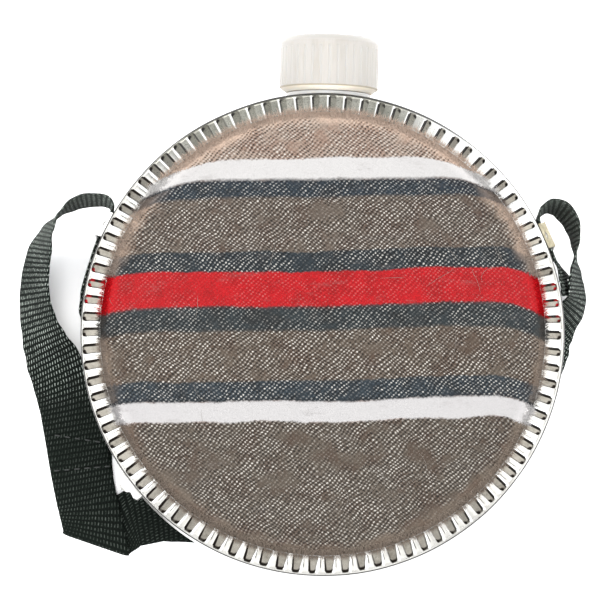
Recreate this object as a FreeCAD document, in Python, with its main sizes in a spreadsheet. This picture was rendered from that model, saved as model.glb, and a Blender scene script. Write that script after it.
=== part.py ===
import FreeCAD, Part
import math
import os
import re
import Sketcher
from FreeCAD import Placement, Rotation, Vector

# Round blanket-covered canteen, lying on its back. Millimetres and degrees.
# The disc's axis is Z, the striped front faces +Z and the neck points along +Y. The origin is the
# middle of the flattened spot of the rear blanket, where the canteen rests.

DIMENSIONS = {
    # disc
    "mid_height": 46.9,        # height of the disc's middle plane above the resting surface
    "half_thickness": 48.1,    # middle plane to the crown of a blanket
    "crown_radius": 193.6,     # spherical radius of a blanket's outer face
    "blanket_thickness": 2.4,
    "blanket_edge": 97.5,      # radius at which a blanket ends inside the rim
    "skin_gap": 0.2,           # clearance between stacked skins
    # rim band
    "band_radius": 101.5,
    "band_half_height": 21.4,
    "band_sheet": 0.8,
    "bead_radius": 1.6,
    "flange_edge": 93.0,       # radius of the flange's inner edge
    "flange_rise": 4.0,        # how much higher the inner edge is than the bead
    "flange_thickness": 1.0,
    "flute_count": 90,
    "flute_depth": 0.5,
    "flute_angle": 1.6,
    "flute_land": 1.7,         # plain rim left outside the flutes
    "flute_overrun": 1.0,      # how far the flute's cutter stands past the flange
    # flask
    "flask_radius": 100.2,
    "flask_wall": 1.8,
    "flask_straight": 15.0,    # half height of the straight side wall
    "shoulder_radius": 96.5,   # where the dome turns into the shoulder
    "neck_radius": 14.85,
    "neck_bore": 12.8,
    "neck_top": 123.3,
    "thread_pitch": 4.23,
    "thread_depth": 1.15,
    "thread_width": 1.5,       # at the ridge's foot
    "thread_flank": 0.45,      # how far each flank leans in over the ridge's depth
    "thread_root": 0.15,       # how far the ridge reaches into its wall
    "neck_thread_start": 107.5,
    "neck_thread_turns": 2.5,
    "shoulder_bend": 6.0,
    # collar, cap and seal
    "collar_radius": 17.7,
    "collar_bore": 15.0,
    "collar_spigot": 15.9,
    "collar_top": 102.9,
    "collar_bottom": 100.4,
    "cap_radius": 20.8,
    "cap_bottom": 103.2,
    "cap_top": 127.0,
    "cap_round": 3.6,
    "cap_chamfer": 1.9,
    "cap_foot": 17.95,         # radius at which the chamfer ends
    "cap_inner": 16.6,
    "cap_inner_top": 125.0,
    "cap_thread_start": 105.385,  # half a pitch from the neck's, so the threads share their play evenly
    "cap_thread_turns": 2.5,
    "rib_count": 36,
    "rib_radius": 0.8,
    "rib_cut": 0.3,
    "rib_bottom": 106.0,
    "rib_top": 122.0,
    "seal_radius": 16.3,
    "seal_thickness": 1.6,
    # strap loops and rivets
    "loop_angle": 25.5,        # above the middle of each side
    "loop_length": 11.0,
    "loop_sheet": 1.0,
    "loop_gap": 2.3,           # room for the strap
    "loop_half_span": 13.7,
    "loop_half_height": 19.6,
    "rivet_offset": 17.2,
    "rivet_radius": 1.0,
    "rivet_head": 1.6,
    "rivet_dome": 0.8,
    "rivet_tail": 0.3,         # shank end inside the band
    "hole_play": 0.05,
    "cut_overrun": 10.0,       # how far a drilling runs past what it cuts
    # band joint clip
    "clip_angle": 218.5,
    "clip_length": 16.0,
    "clip_height": 4.0,
    "clip_half_height": 6.0,
    "clip_rivet_offset": 4.0,
    # strap
    "strap_width": 26.0,
    "strap_thickness": 1.5,
    "stitch_length": 2.4,
    "stitch_width": 0.7,
    "stitch_depth": 3.15,      # from outside the sewn end into the long layer
    "stitch_proud": 0.15,
}

doc = FreeCAD.newDocument("canteen")
sheet = doc.addObject("Spreadsheet::Sheet", "Dims")
for row, (alias, number) in enumerate(DIMENSIONS.items(), start=1):
    sheet.set(f"A{row}", alias)
    sheet.set(f"B{row}", str(number))
    sheet.setAlias(f"B{row}", alias)
doc.recompute()

ORIGIN_POINT = (-1, 1)
HORIZONTAL_AXIS = -1
VERTICAL_AXIS = -2
SUB_PARTS = []


# ---------------------------------------------------------------- helpers

def cell(alias):
    """A driving dimension's value."""
    return float(sheet.get(alias))


def bound(text):
    """The expression in text, with each dimension's name pointing at its cell."""
    return re.sub(r"[a-z]+(?:_[a-z]+)+", lambda word: "Dims." + word.group(0), text)


def value(text):
    """The number that an expression of dimensions gives now."""
    number = sheet.evalExpression(bound(text))
    return float(getattr(number, "Value", number))


def sub_part(thing, label):
    thing.Label = label
    SUB_PARTS.append(thing)
    return thing


def new_body(label):
    return sub_part(doc.addObject("PartDesign::Body", "Body_" + label), label)


def new_sketch(body, name, plane, lift="0", turn=0):
    """A sketch on one of the body's origin planes, lifted off it along the plane's normal."""
    sketch = body.newObject("Sketcher::SketchObject", body.Label + "_" + name)
    face = [item for item in body.Origin.OriginFeatures if item.Role == plane][0]
    sketch.AttachmentSupport = [(face, "")]
    sketch.MapMode = "FlatFace"
    spin = Rotation(Vector(0, 1, 0), turn)
    sketch.AttachmentOffset = Placement(Vector(0, 0, 0), spin)
    if lift != "0":
        sketch.setExpression("AttachmentOffset.Base.z", bound(lift))
    doc.recompute()
    return sketch


def place_point(sketch, geometry, position, x_text, y_text):
    """Hold one point of a sketch at (x, y), each an expression of dimensions."""
    for kind, text, axis in (("DistanceX", x_text, VERTICAL_AXIS), ("DistanceY", y_text, HORIZONTAL_AXIS)):
        if text == "0":
            sketch.addConstraint(Sketcher.Constraint("PointOnObject", geometry, position, axis))
            continue
        held = Sketcher.Constraint(kind, *ORIGIN_POINT, geometry, position, value(text))
        index = sketch.addConstraint(held)
        sketch.setExpression(f"Constraints[{index}]", bound(text))


def arc_between(start, end, radius, turn):
    """The shorter arc from start to end; turn is 1 for counter-clockwise and -1 for clockwise."""
    chord = end - start
    reach = math.sqrt(max(radius ** 2 - (chord.Length / 2) ** 2, 0))
    side = Vector(-chord.y, chord.x, 0).normalize() * (reach * turn)
    centre = (start + end) * 0.5 + side
    first, last = (start, end) if turn > 0 else (end, start)
    angles = [math.atan2(point.y - centre.y, point.x - centre.x) for point in (first, last)]
    if angles[1] < angles[0]:
        angles[1] += 2 * math.pi
    return Part.ArcOfCircle(Part.Circle(centre, Vector(0, 0, 1), radius), *angles)


def outline(sketch, corners):
    """A closed outline. A corner is (x, y), or (x, y, radius, turn) where an arc leads to the next one."""
    points = [Vector(value(corner[0]), value(corner[1]), 0) for corner in corners]
    ends = []
    for index, corner in enumerate(corners):
        start = points[index]
        end = points[(index + 1) % len(points)]
        if len(corner) == 2:
            ends.append((sketch.addGeometry(Part.LineSegment(start, end), False), 1, 2))
            continue
        curve = arc_between(start, end, value(corner[2]), corner[3])
        order = (1, 2) if corner[3] > 0 else (2, 1)
        ends.append((sketch.addGeometry(curve, False), *order))
    for index, corner in enumerate(corners):
        geometry, start_point, end_point = ends[index]
        following = ends[(index + 1) % len(ends)]
        joined = Sketcher.Constraint("Coincident", geometry, end_point, following[0], following[1])
        sketch.addConstraint(joined)
        place_point(sketch, geometry, start_point, corner[0], corner[1])
        if len(corner) == 4:
            bend = sketch.addConstraint(Sketcher.Constraint("Radius", geometry, value(corner[2])))
            sketch.setExpression(f"Constraints[{bend}]", bound(corner[2]))
    doc.recompute()


def ring(sketch, x_text, y_text, radius_text):
    """A circle in a sketch."""
    middle = Vector(value(x_text), value(y_text), 0)
    circle = Part.Circle(middle, Vector(0, 0, 1), value(radius_text))
    geometry = sketch.addGeometry(circle, False)
    place_point(sketch, geometry, 3, x_text, y_text)
    size = sketch.addConstraint(Sketcher.Constraint("Radius", geometry, value(radius_text)))
    sketch.setExpression(f"Constraints[{size}]", bound(radius_text))
    doc.recompute()


def turned(body, kind, sketch, angle="360"):
    """Revolve a sketch about its vertical axis: kind is Revolution or Groove."""
    feature = body.newObject("PartDesign::" + kind, sketch.Name + "_" + kind)
    feature.Profile = sketch
    feature.ReferenceAxis = (sketch, ["V_Axis"])
    feature.Midplane = angle != "360"
    feature.setExpression("Angle", bound(angle))
    doc.recompute()
    return feature


def pushed(body, kind, sketch, length, reverse=False, midplane=False):
    """Extrude a sketch: kind is Pad or Pocket."""
    feature = body.newObject("PartDesign::" + kind, sketch.Name + "_" + kind)
    feature.Profile = sketch
    feature.setExpression("Length", bound(length))
    feature.Reversed = reverse
    feature.Midplane = midplane
    doc.recompute()
    return feature


def repeated(body, feature, sketch, axis, count):
    """Repeat a feature all round an axis of a sketch."""
    pattern = body.newObject("PartDesign::PolarPattern", feature.Name + "_pattern")
    pattern.Originals = [feature]
    pattern.Axis = (sketch, [axis])
    pattern.Angle = 360
    pattern.setExpression("Occurrences", bound(count))
    body.Tip = pattern
    doc.recompute()


def must_cut(body, before, what):
    """A cut that points away from the solid changes nothing and shows no error."""
    if body.Shape.Volume > before.Volume - 0.1 and len(body.Shape.Faces) <= len(before.Faces):
        raise RuntimeError(what + " cut nothing")
    return body.Shape


# ---------------------------------------------------------------- flask

def dome(crown_gap, edge):
    """Height above the middle plane, at radius edge, of a dome lying crown_gap under the blanket's face."""
    sphere = f"(crown_radius - ({crown_gap}))"
    return f"(half_thickness - crown_radius + sqrt({sphere} ^ 2 - ({edge}) ^ 2))"


def flask_outline(gap, edge, wall_radius, straight):
    """Half outline of a domed disc, from the rear crown round to the front crown."""
    sphere = f"crown_radius - ({gap})"
    crown = f"half_thickness - ({gap})"
    rim = dome(gap, edge)
    return [
        ("0", f"mid_height - ({crown})", sphere, 1),
        (edge, f"mid_height - {rim}", "shoulder_bend", 1),
        (wall_radius, f"mid_height - ({straight})"),
        (wall_radius, f"mid_height + {straight}", "shoulder_bend", 1),
        (edge, f"mid_height + {rim}", sphere, 1),
        ("0", f"mid_height + ({crown})"),
    ]


def flask_section(body, name, gap, edge, wall_radius):
    """A sketch of the flask's half outline, its crown lying gap under the blanket's face."""
    section = new_sketch(body, name, "XZ_Plane")
    outline(section, flask_outline(gap, edge, wall_radius, "flask_straight"))
    return section


def bored(body):
    """Open the way through the neck."""
    before = body.Shape
    bore = new_sketch(body, "bore", "XZ_Plane")
    ring(bore, "0", "mid_height", "neck_bore")
    pushed(body, "Pocket", bore, "neck_top + cut_overrun")
    must_cut(body, before, body.Label + " bore")


OUTER_GAP = "blanket_thickness + skin_gap"


def make_flask():
    body = new_body("flask")
    outer = flask_section(body, "outer", OUTER_GAP, "shoulder_radius", "flask_radius")
    turned(body, "Revolution", outer)
    before = body.Shape
    inner_gap = OUTER_GAP + " + flask_wall"
    inner_edge = "shoulder_radius - flask_wall / 2"
    inner = flask_section(body, "inner", inner_gap, inner_edge, "flask_radius - flask_wall")
    turned(body, "Groove", inner)
    must_cut(body, before, "flask hollow")
    bored(body)


def make_neck():
    """The threaded neck, moulded in one with the flask: its foot is the flask's own round side."""
    body = new_body("flask_neck")
    post = new_sketch(body, "post", "XZ_Plane")
    ring(post, "0", "mid_height", "neck_radius")
    pushed(body, "Pad", post, "neck_top", reverse=True)
    before = body.Shape
    foot = flask_section(body, "foot", OUTER_GAP, "shoulder_radius", "flask_radius")
    turned(body, "Groove", foot)
    must_cut(body, before, "neck foot")
    bored(body)
    thread(body, "neck_radius", "neck_thread_start", "neck_thread_turns", 1)


def thread(body, root, start, turns, side):
    """A helical ridge about the neck's axis: side is 1 on an outside face and -1 on an inside one."""
    sketch = new_sketch(body, "thread", "XY_Plane", lift="mid_height")
    sunk = f"{root} - {side} * thread_root"
    crest = f"{root} + {side} * thread_depth"
    outline(sketch, [
        (sunk, start),
        (crest, f"{start} + thread_flank"),
        (crest, f"{start} + thread_width - thread_flank"),
        (sunk, f"{start} + thread_width"),
    ])
    helix = body.newObject("PartDesign::AdditiveHelix", body.Label + "_helix")
    helix.Profile = sketch
    helix.ReferenceAxis = (sketch, ["V_Axis"])
    helix.Mode = 0
    helix.setExpression("Pitch", bound("thread_pitch"))
    helix.setExpression("Height", bound(f"thread_pitch * {turns}"))
    helix.Angle = 0
    helix.LeftHanded = False
    doc.recompute()


# ---------------------------------------------------------------- collar, cap and seal

def make_collar():
    body = new_body("neck_collar")
    face = new_sketch(body, "face", "XZ_Plane")
    ring(face, "0", "mid_height", "collar_radius")
    ring(face, "0", "mid_height", "collar_bore")
    pushed(body, "Pad", face, "collar_top", reverse=True)
    before = body.Shape
    saddle = new_sketch(body, "saddle", "XY_Plane")
    ring(saddle, "0", "0", "band_radius")
    pushed(body, "Pocket", saddle, "mid_height * 2", reverse=True)
    must_cut(body, before, "collar saddle")
    spigot = new_sketch(body, "spigot", "XZ_Plane", lift="-collar_bottom")
    ring(spigot, "0", "mid_height", "collar_spigot")
    ring(spigot, "0", "mid_height", "collar_bore")
    pushed(body, "Pad", spigot, "collar_top - collar_bottom", reverse=True)


def make_cap():
    body = new_body("cap")
    shell = new_sketch(body, "shell", "XY_Plane", lift="mid_height")
    outline(shell, [
        ("cap_inner", "cap_bottom"),
        ("cap_foot", "cap_bottom"),
        ("cap_radius", "cap_bottom + cap_chamfer"),
        ("cap_radius", "cap_top - cap_round", "cap_round", 1),
        ("cap_radius - cap_round", "cap_top"),
        ("0", "cap_top"),
        ("0", "cap_inner_top"),
        ("cap_inner", "cap_inner_top"),
    ])
    turned(body, "Revolution", shell)
    before = body.Shape
    rib = new_sketch(body, "rib", "XZ_Plane", lift="-rib_top")
    ring(rib, "0", "mid_height + cap_radius + rib_radius - rib_cut", "rib_radius")
    cut = pushed(body, "Pocket", rib, "rib_top - rib_bottom", reverse=True)
    before = must_cut(body, before, "cap rib")
    axis = new_sketch(body, "axis", "XY_Plane", lift="mid_height")
    repeated(body, cut, axis, "V_Axis", "rib_count")
    must_cut(body, before, "cap ribs")
    thread(body, "cap_inner", "cap_thread_start", "cap_thread_turns", -1)


def make_seal():
    body = new_body("cap_seal")
    face = new_sketch(body, "face", "XZ_Plane", lift="-cap_inner_top")
    ring(face, "0", "mid_height", "seal_radius")
    pushed(body, "Pad", face, "seal_thickness")


# ---------------------------------------------------------------- blankets

def make_blanket(label, side):
    """A domed skin: side is 1 for the front and -1 for the rear, which is pressed flat where it rests."""
    body = new_body(label)
    sketch = new_sketch(body, "section", "XZ_Plane")
    outer_sphere = "crown_radius"
    inner_sphere = "crown_radius - blanket_thickness"
    outer_rim = dome("0", "blanket_edge")
    inner_rim = dome("blanket_thickness", "blanket_edge")
    outline(sketch, [
        ("0", f"mid_height + {side} * half_thickness"),
        ("0", f"mid_height + {side} * (half_thickness - blanket_thickness)", inner_sphere, -side),
        ("blanket_edge", f"mid_height + {side} * {inner_rim}"),
        ("blanket_edge", f"mid_height + {side} * {outer_rim}", outer_sphere, side),
    ])
    turned(body, "Revolution", sketch)
    if side > 0:
        return
    before = body.Shape
    rest = new_sketch(body, "rest", "XY_Plane")
    ring(rest, "0", "0", "blanket_edge")
    pushed(body, "Pocket", rest, "half_thickness")
    must_cut(body, before, "resting flat")


# ---------------------------------------------------------------- rim band

def radial_hole(body, name, angle, height, radius):
    """A hole through the band's wall at an angle from +X."""
    before = body.Shape
    sketch = new_sketch(body, name, "XZ_Plane", turn=angle - 90)
    ring(sketch, "0", height, radius)
    pushed(body, "Pocket", sketch, "band_radius + cut_overrun")
    must_cut(body, before, name)


def make_band():
    body = new_body("rim_band")
    section = new_sketch(body, "section", "XZ_Plane")
    inner_wall = "band_radius - band_sheet"
    bead_foot = "band_half_height - bead_radius"
    bead_top = "band_radius - bead_radius"
    edge_top = "band_half_height + flange_rise"
    under_edge = f"{edge_top} - flange_thickness"
    under_bead = "band_half_height - flange_thickness"
    outline(section, [
        ("band_radius", f"mid_height - ({bead_foot})"),
        ("band_radius", f"mid_height + {bead_foot}", "bead_radius", 1),
        (bead_top, "mid_height + band_half_height"),
        ("flange_edge", f"mid_height + {edge_top}"),
        ("flange_edge", f"mid_height + {under_edge}"),
        (inner_wall, f"mid_height + {under_bead}"),
        (inner_wall, f"mid_height - ({under_bead})"),
        ("flange_edge", f"mid_height - ({under_edge})"),
        ("flange_edge", f"mid_height - ({edge_top})"),
        (bead_top, "mid_height - band_half_height", "bead_radius", 1),
    ])
    turned(body, "Revolution", section)
    radial_hole(body, "neck_hole", 90, "mid_height", "collar_spigot + hole_play")
    sides = (("right", cell("loop_angle")), ("left", 180 - cell("loop_angle")))
    for name, degrees in sides:
        for step, height in enumerate(("mid_height + rivet_offset", "mid_height - rivet_offset")):
            radial_hole(body, f"rivet_{name}_{step}", degrees, height, "rivet_radius")
    for step, height in enumerate(("mid_height + clip_rivet_offset", "mid_height - clip_rivet_offset")):
        radial_hole(body, f"rivet_clip_{step}", cell("clip_angle"), height, "rivet_radius")
    before = body.Shape
    flute = new_sketch(body, "flute", "XZ_Plane")
    slope = "flange_rise / (band_radius - bead_radius - flange_edge)"
    inner_end = "flange_edge - flute_overrun"
    outer_end = "band_radius - flute_land"
    high = f"band_half_height + flange_rise + flute_overrun * (1 + {slope})"
    deep_inside = f"band_half_height + flange_rise + {slope} * flute_overrun - flute_depth"
    deep_outside = f"band_half_height + {slope} * (flute_land - bead_radius) - flute_depth"
    for side in ("+", "-"):
        outline(flute, [
            (inner_end, f"mid_height {side} ({high})"),
            (inner_end, f"mid_height {side} ({deep_inside})"),
            (outer_end, f"mid_height {side} ({deep_outside})"),
            (outer_end, f"mid_height {side} ({high})"),
        ])
    cut = turned(body, "Groove", flute, "flute_angle")
    before = must_cut(body, before, "flute")
    repeated(body, cut, flute, "V_Axis", "flute_count")
    must_cut(body, before, "flutes")


# ---------------------------------------------------------------- strap loops, joint clip and rivets

def make_loop(label, angle):
    """A bridge bent from flat strip: its two feet lie on the band and its back spans the strap."""
    body = new_body(label)
    section = new_sketch(body, "section", "XZ_Plane")
    foot = "band_radius + loop_sheet"
    back = "band_radius + loop_gap"
    corners = []
    for side in ("-", "+"):
        inner = ("band_radius", f"mid_height {side} loop_half_span")
        steps = [
            ("band_radius", f"mid_height {side} loop_half_height"),
            (foot, f"mid_height {side} loop_half_height"),
            (foot, f"mid_height {side} (loop_half_span + loop_sheet)"),
            (f"{back} + loop_sheet", f"mid_height {side} (loop_half_span + loop_sheet)"),
        ]
        corners += [inner] + steps if side == "-" else steps[::-1] + [inner]
    corners.append((back, "mid_height + loop_half_span"))
    corners.append((back, "mid_height - loop_half_span"))
    outline(section, corners)
    pushed(body, "Pad", section, "loop_length", midplane=True)
    before = body.Shape
    holes = new_sketch(body, "holes", "YZ_Plane")
    for side in ("+", "-"):
        ring(holes, "0", f"mid_height {side} rivet_offset", "rivet_radius")
    pushed(body, "Pocket", holes, "band_radius + cut_overrun", reverse=True)
    must_cut(body, before, "loop rivet holes")
    body.Placement = Placement(Vector(0, 0, 0), Rotation(Vector(0, 0, 1), angle))


# The lug's outline: shares of its length along the band and of its height above it.
CLIP_STEPS = [(-0.36, 0.28), (-0.2, 0.55), (-0.13, 1), (0.15, 1), (0.22, 0.62), (0.4, 0.75), (0.5, 0.55)]


def make_clip():
    """The stepped lug over the band's joint, in a frame whose X axis points out through the lug."""
    body = new_body("band_joint_clip")
    side_view = new_sketch(body, "side_view", "XY_Plane", lift="mid_height")
    seat_end = "sqrt(band_radius ^ 2 - (clip_length / 2) ^ 2)"
    steps = [(f"band_radius + clip_height * {up}", f"clip_length * ({along})") for along, up in CLIP_STEPS]
    seat = [(seat_end, "clip_length / 2", "band_radius", -1)]
    outline(side_view, [(seat_end, "-clip_length / 2")] + steps + seat)
    pushed(body, "Pad", side_view, "clip_half_height * 2", midplane=True)
    before = body.Shape
    holes = new_sketch(body, "holes", "YZ_Plane")
    for side in ("+", "-"):
        ring(holes, "0", f"mid_height {side} clip_rivet_offset", "rivet_radius")
    pushed(body, "Pocket", holes, "band_radius + cut_overrun", reverse=True)
    must_cut(body, before, "clip rivet holes")
    body.Placement = Placement(Vector(0, 0, 0), Rotation(Vector(0, 0, 1), cell("clip_angle")))


def make_rivet(name, seat, angle, height):
    """A domed rivet along a radius: its head sits at radius seat and its shank ends inside the band."""
    outward = Vector(math.cos(math.radians(angle)), math.sin(math.radians(angle)), 0)
    turn = Rotation(Vector(0, 0, 1), outward)
    inner_end = "(band_radius - band_sheet - rivet_tail)"
    shank = doc.addObject("Part::Cylinder", name + "_shank")
    shank.setExpression("Radius", bound("rivet_radius - hole_play"))
    shank.setExpression("Height", bound(f"{seat} - {inner_end}"))
    shank.Placement = Placement(outward * value(inner_end) + Vector(0, 0, value(height)), turn)
    head = doc.addObject("Part::Ellipsoid", name + "_head")
    head.setExpression("Radius1", bound("rivet_dome"))
    head.setExpression("Radius2", bound("rivet_head"))
    head.setExpression("Radius3", bound("rivet_head"))
    head.Angle1 = 0
    head.Placement = Placement(outward * value(seat) + Vector(0, 0, value(height)), turn)
    rivet = doc.addObject("Part::Fuse", name)
    rivet.Base = shank
    rivet.Tool = head
    return rivet


def make_rivets(label, seat, angle, offset):
    """The pair of rivets of one fitting."""
    pair = doc.addObject("Part::Compound", "Pair_" + label)
    pair.Links = [
        make_rivet(f"{label}_{step}", seat, angle, f"mid_height {side} {offset}")
        for step, side in enumerate(("+", "-"))
    ]
    doc.recompute()
    sub_part(pair, label)


# ---------------------------------------------------------------- shoulder strap

# The webbing's middle line: x, y, z and how far its width leans from upright (90 is flat). The width's
# upper edge leans to the right of the direction of travel where the lean is positive.
# First its left end: sewn end, up the band, through the left loop, round and down beside the canteen.
LEFT_ROUTE = [
    (-100.6, -60.0, 1.0, -90), (-101.5, -47.0, 1.0, -90), (-99.5, -36.0, 1.0, -90),
    (-94.0, -24.0, 1.8, -86), (-89.4, -14.0, 4.2, -76), (-88.8, -6.0, 7.2, -60),
    (-92.4, 0.5, 10.8, -42), (-97.0, 4.8, 12.5, -27),
    (-100.2, 9.0, 16.5, -13), (-102.0, 15.0, 24.0, -2),
    (-100.9, 22.0, 32.0, 0), (-98.1, 30.5, 40.5, 0), (-95.0, 39.2, 46.6, 0),
    (-92.7, 44.2, 46.9, 0), (-90.3, 49.2, 46.9, 0), (-90.2, 53.0, 46.6, 3),
    (-92.6, 55.2, 45.8, 6), (-97.0, 55.8, 44.2, 7), (-101.9, 55.6, 42.0, 8),
    (-107.0, 54.0, 38.8, 6), (-112.6, 50.3, 34.3, -2), (-117.9, 44.0, 28.0, -14),
    (-121.3, 35.0, 20.0, -26), (-123.1, 24.5, 14.0, -29), (-123.0, 14.5, 12.0, -32),
    (-121.0, 4.5, 11.0, -38), (-118.2, -3.5, 10.4, -49), (-114.6, -11.0, 8.0, -64),
    (-108.6, -25.0, 4.8, -82), (-105.4, -38.0, 3.1, -90), (-102.2, -54.0, 2.9, -90),
    (-98.6, -70.0, 2.6, -90),
]
# From the fold beside the canteen to the stack of layers under it.
UNDER_ROUTE = [(-77.8, -75.8), (-66.7, -73.4), (-55.0, -73.5), (-44.0, -73.5)]
# From the stack to the right side, up round the right loop and down the band to the sewn end.
RIGHT_ROUTE = [
    (36.0, -73.5, 7.25, -90), (48.0, -71.0, 7.25, -90), (60.0, -60.5, 5.4, -90),
    (71.0, -43.0, 2.0, -90), (79.5, -26.0, 0.9, -90), (86.5, -14.0, 1.6, -86),
    (91.6, -5.0, 3.8, -76), (95.4, 2.2, 6.8, -62), (99.6, 8.8, 10.1, -44),
    (105.4, 15.0, 12.6, -26), (108.0, 20.5, 17.0, -20), (107.6, 26.0, 23.0, -17),
    (107.0, 31.5, 28.5, -12), (106.5, 37.5, 33.5, -3), (106.1, 44.5, 38.5, 6),
    (104.2, 51.2, 42.5, 12), (100.5, 55.9, 44.8, 14), (96.0, 57.8, 46.2, 10),
    (92.0, 56.4, 46.8, 4), (89.9, 53.2, 46.9, 0), (90.3, 49.2, 46.9, 0),
    (92.7, 44.2, 46.9, 0), (95.0, 39.2, 46.6, 0), (99.0, 33.6, 38.5, 5),
    (102.6, 28.0, 28.5, 13), (105.0, 22.3, 20.5, 18),
]
FOLD_LINE = -17.5              # heading of the diagonal fold beside the canteen
FOLD_MIDDLE = (-94.2, -87.4)
LAYER_COUNT = 5
LAYER_STEP = 1.55
STACK_ENDS = (-40.0, 42.0)     # x of the turns at the two ends of the stack
STACK_LINE = -73.5             # y of the stack's middle line
STITCH_COUNT = 6               # stitches in a row across the webbing
LEFT_STITCHES = (1, 4)         # sections that carry a row of stitches, from the left end
RIGHT_STITCHES = (-2, -4)
LEFT_MAIN_SIDE = 1             # side of the sewn end on which the long layer lies
RIGHT_MAIN_SIDE = -1
SPAN_STEPS = 3                 # sections between two points of a route
TURN_STEPS = 5                 # sections round a fold
UP = Vector(0, 0, 1)


def section_frame(middle, travel, lean):
    """Middle, half-width vector and normal of a section leaning to the right of its travel."""
    right = travel.cross(UP).normalize()
    tilt = math.radians(lean)
    across = UP * math.cos(tilt) + right * math.sin(tilt)
    lowest = (cell("strap_width") * across.z + cell("strap_thickness") * abs(math.sin(tilt))) / 2
    middle = Vector(middle.x, middle.y, max(middle.z, lowest))
    return middle, across * (cell("strap_width") / 2), travel.cross(across).normalize()


def follow(route):
    """Sections along a smooth curve through a route's points, its last point included."""
    points = [Vector(*stop[:3]) for stop in route]
    curve = Part.BSplineCurve()
    curve.interpolate(points)
    frames = []
    for index in range(len(route) - 1):
        first = curve.parameter(points[index])
        last = curve.parameter(points[index + 1])
        ends_route = index == len(route) - 2
        for step in range(SPAN_STEPS + int(ends_route)):
            share = step / SPAN_STEPS
            travel = curve.tangent(first + (last - first) * share)[0]
            lean = route[index][3] + (route[index + 1][3] - route[index][3]) * share
            frames.append(section_frame(curve.value(first + (last - first) * share), travel, lean))
    return frames


def turn_back(middle, travel, across, rise):
    """Sections round a fold that brings the webbing back over itself, rise above or below."""
    frames = []
    for step in range(TURN_STEPS + 1):
        turned_by = math.pi * step / TURN_STEPS
        ahead = travel * (abs(rise) / 2 * math.sin(turned_by))
        lift = UP * (rise / 2 * (1 - math.cos(turned_by)))
        heading = travel * math.cos(turned_by) + UP * (math.copysign(1, rise) * math.sin(turned_by))
        frames.append((middle + ahead + lift, across, heading.cross(across).normalize()))
    return frames


def strap_frames():
    """Every section of the webbing in order, from its left sewn end to its right one."""
    frames = follow(LEFT_ROUTE)
    across_fold = cell("strap_width") / 2
    travel = Vector(*LEFT_ROUTE[-1][:2], 0) - Vector(*LEFT_ROUTE[-2][:2], 0)
    line = Vector(math.cos(math.radians(FOLD_LINE)), math.sin(math.radians(FOLD_LINE)), 0)
    slant = abs(travel.normalize().cross(line).z)
    side = 1 if line.dot(frames[-1][1]) > 0 else -1
    fold = line * (side * across_fold / slant)
    square = Vector(line.y, -line.x, 0)
    middle = Vector(*FOLD_MIDDLE, LEFT_ROUTE[-1][2])
    frames += turn_back(middle, square, fold, -LAYER_STEP)
    low = middle.z - LAYER_STEP
    points = [Vector(x, y, low) for x, y in UNDER_ROUTE]
    for index, point in enumerate(points):
        after = points[min(index + 1, len(points) - 1)]
        before = points[max(index - 1, 0)]
        frames.append(section_frame(point, (after - before).normalize(), 90))
    heading = Vector(1, 0, 0)
    across = frames[-1][1]
    for layer in range(LAYER_COUNT - 1):
        end = STACK_ENDS[1] if heading.x > 0 else STACK_ENDS[0]
        middle = Vector(end, STACK_LINE, low + layer * LAYER_STEP)
        frames += turn_back(middle, heading, across, LAYER_STEP)
        heading = -heading
    return frames + follow(RIGHT_ROUTE)


def rectangle(middle, side, end):
    """A closed outline with its corners at side and end, plus and minus, from the middle."""
    corners = [middle + side * a + end * b for a, b in ((1, 1), (-1, 1), (-1, -1), (1, -1))]
    return Part.makePolygon(corners + corners[:1])


def make_strap():
    half = cell("strap_thickness") / 2
    frames = strap_frames()
    sections = [rectangle(middle, across, normal * half) for middle, across, normal in frames]
    strap = doc.addObject("Part::Feature", "Strap")
    strap.Shape = Part.makeLoft(sections, True, True)
    strap.Placement = Placement()
    sub_part(strap, "shoulder_strap")
    return frames


def make_stitching(label, frames, main_side, rows):
    """Rows of stitches through the sewn end and the layer it lies on."""
    outside = cell("strap_thickness") / 2 + cell("stitch_proud")
    solids = []
    for middle, across, normal in (frames[row] for row in rows):
        inward = normal * main_side
        along = across.cross(normal).normalize() * (cell("stitch_width") / 2)
        length = across * (cell("stitch_length") / cell("strap_width"))
        for step in range(STITCH_COUNT):
            place = (2 * step + 1) / STITCH_COUNT - 1
            start = middle + across * place - inward * outside
            face = Part.Face(rectangle(start, length, along))
            solids.append(face.extrude(inward * cell("stitch_depth")))
    stitches = doc.addObject("Part::Feature", "Stitches_" + label)
    stitches.Shape = Part.makeCompound(solids)
    stitches.Placement = Placement()
    sub_part(stitches, label)


make_flask()
make_neck()
make_collar()
make_cap()
make_seal()
make_blanket("front_blanket", 1)
make_blanket("rear_blanket", -1)
make_band()
LOOPS = (("right", cell("loop_angle")), ("left", 180 - cell("loop_angle")))
for side_name, side_angle in LOOPS:
    make_loop("strap_loop_" + side_name, side_angle)
    make_rivets("loop_rivets_" + side_name, "(band_radius + loop_sheet)", side_angle, "rivet_offset")
make_clip()
make_rivets("band_joint_rivets", "(band_radius + clip_height)", cell("clip_angle"), "clip_rivet_offset")
strap = make_strap()
make_stitching("strap_stitching_left", strap, LEFT_MAIN_SIDE, LEFT_STITCHES)
make_stitching("strap_stitching_right", strap, RIGHT_MAIN_SIDE, RIGHT_STITCHES)

for item in doc.Objects:
    if "Invalid" in item.State or "Error" in item.State:
        raise RuntimeError(item.Name + " failed to compute")
os.makedirs("parts", exist_ok=True)
for item in SUB_PARTS:
    if item.Shape.isNull() or not item.Shape.isValid():
        raise RuntimeError(item.Label + " has no valid shape")
    item.Shape.exportStep(f"parts/{item.Label}.step")
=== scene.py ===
import math

import bmesh
import bpy
import numpy as np
from mathutils import Matrix, Vector


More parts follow.
